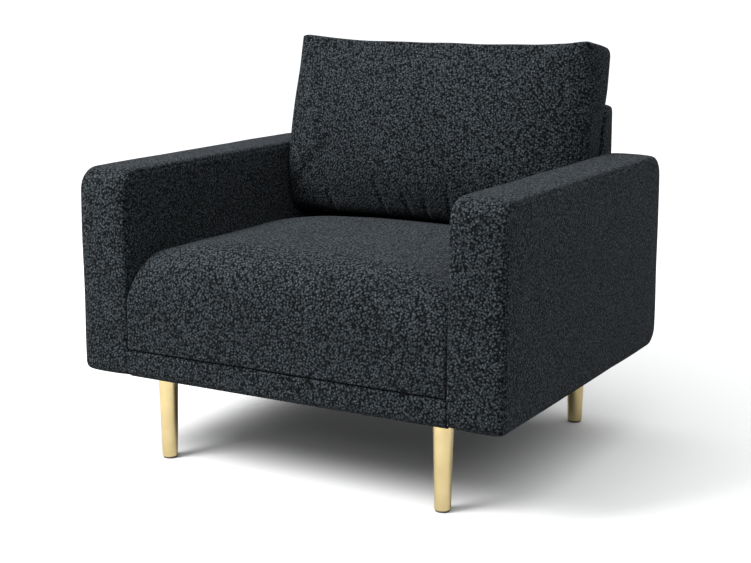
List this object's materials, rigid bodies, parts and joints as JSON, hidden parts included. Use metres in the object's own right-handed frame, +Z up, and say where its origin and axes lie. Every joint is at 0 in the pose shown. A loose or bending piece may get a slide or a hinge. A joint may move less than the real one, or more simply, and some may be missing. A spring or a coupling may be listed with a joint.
{
  "type": "upholstered armchair",
  "caption": "Low boxy armchair in flecked charcoal tweed: slab arms, tight crowned seat, loose leaning back cushion and slim tapered metal legs.",
  "frame": {"origin": "on the floor, under the middle of the chair's overall width and depth", "axes": "+Z up; the front faces -Y; +X is to the right for someone who looks at the front"},
  "size_m": [0.89, 0.754, 0.7949],
  "materials": {
    "tweed_fabric": "charcoal tweed with a short, flecked pile",
    "brass_finish": "satin pale-gold plating over steel tube",
    "timber": "planed pine, unfinished",
    "fibreboard": "raw fibreboard",
    "foam": "open-cell upholstery foam",
    "fibre_filling": "loose polyester fibre in a plain case",
    "webbing": "woven elastic webbing and zip tape",
    "black_cloth": "spun-bonded dust cloth",
    "zinc_steel": "bright zinc plating",
    "black_plastic": "moulded nylon"
  },
  "bodies": {
    "chair": {"arm_board_left": "fibreboard", "arm_board_right": "fibreboard", "arm_bolt_back_left": "zinc_steel", "arm_bolt_back_right": "zinc_steel", "arm_bolt_front_left": "zinc_steel", "arm_bolt_front_right": "zinc_steel", "arm_cover_left": "tweed_fabric", "arm_cover_right": "tweed_fabric", "arm_lower_rail_left": "timber", "arm_lower_rail_right": "timber", "arm_post_back_left": "timber", "arm_post_back_right": "timber", "arm_post_front_left": "timber", "arm_post_front_right": "timber", "arm_top_rail_left": "timber", "arm_top_rail_right": "timber", "back_board": "fibreboard", "back_cover": "tweed_fabric", "back_foam": "foam", "back_rail": "timber", "back_top_rail": "timber", "back_upright_left": "timber", "back_upright_right": "timber", "corner_block_back_left": "timber", "corner_block_back_right": "timber", "corner_block_front_left": "timber", "corner_block_front_right": "timber", "cross_strap_1": "webbing", "cross_strap_2": "webbing", "front_rail": "timber", "front_rail_facing": "tweed_fabric", "leg_plate_back_left": "zinc_steel", "leg_plate_back_right": "zinc_steel", "leg_plate_front_left": "zinc_steel", "leg_plate_front_right": "zinc_steel", "long_strap_1": "webbing", "long_strap_2": "webbing", "long_strap_3": "webbing", "long_strap_4": "webbing", "seat_cover": "tweed_fabric", "seat_foam": "foam", "side_rail_left": "timber", "side_rail_right": "timber", "underside_cloth": "black_cloth"},
    "back_cushion": {"cushion_cover": "tweed_fabric", "cushion_filling": "fibre_filling", "cushion_zip_tape": "webbing"},
    "zip_slider": {"cushion_zip_slider": "zinc_steel"},
    "front_left_leg": {"leg_front_left": "brass_finish", "leg_glide_front_left": "black_plastic", "leg_stud_front_left": "zinc_steel"},
    "back_left_leg": {"leg_back_left": "brass_finish", "leg_glide_back_left": "black_plastic", "leg_stud_back_left": "zinc_steel"},
    "front_right_leg": {"leg_front_right": "brass_finish", "leg_glide_front_right": "black_plastic", "leg_stud_front_right": "zinc_steel"},
    "back_right_leg": {"leg_back_right": "brass_finish", "leg_glide_back_right": "black_plastic", "leg_stud_back_right": "zinc_steel"}
  },
  "joints": [
    {"name": "back_cushion_lift", "type": "slide", "parent": "chair", "child": "back_cushion", "axis": [0, 0.1599, 0.9871], "range_m": [0, 0.3]},
    {"name": "zip_slider_travel", "type": "slide", "parent": "back_cushion", "child": "zip_slider", "axis": [1, 0, 0], "range_m": [0, 0.546]},
    {"name": "front_left_leg_turn", "type": "hinge", "parent": "chair", "child": "front_left_leg", "pos_m": [-0.298, -0.304, 0.1], "axis": [0, 0, 1], "continuous": true},
    {"name": "back_left_leg_turn", "type": "hinge", "parent": "chair", "child": "back_left_leg", "pos_m": [-0.298, 0.304, 0.1], "axis": [0, 0, 1], "continuous": true},
    {"name": "front_right_leg_turn", "type": "hinge", "parent": "chair", "child": "front_right_leg", "pos_m": [0.298, -0.304, 0.1], "axis": [0, 0, 1], "continuous": true},
    {"name": "back_right_leg_turn", "type": "hinge", "parent": "chair", "child": "back_right_leg", "pos_m": [0.298, 0.304, 0.1], "axis": [0, 0, 1], "continuous": true}
  ]
}
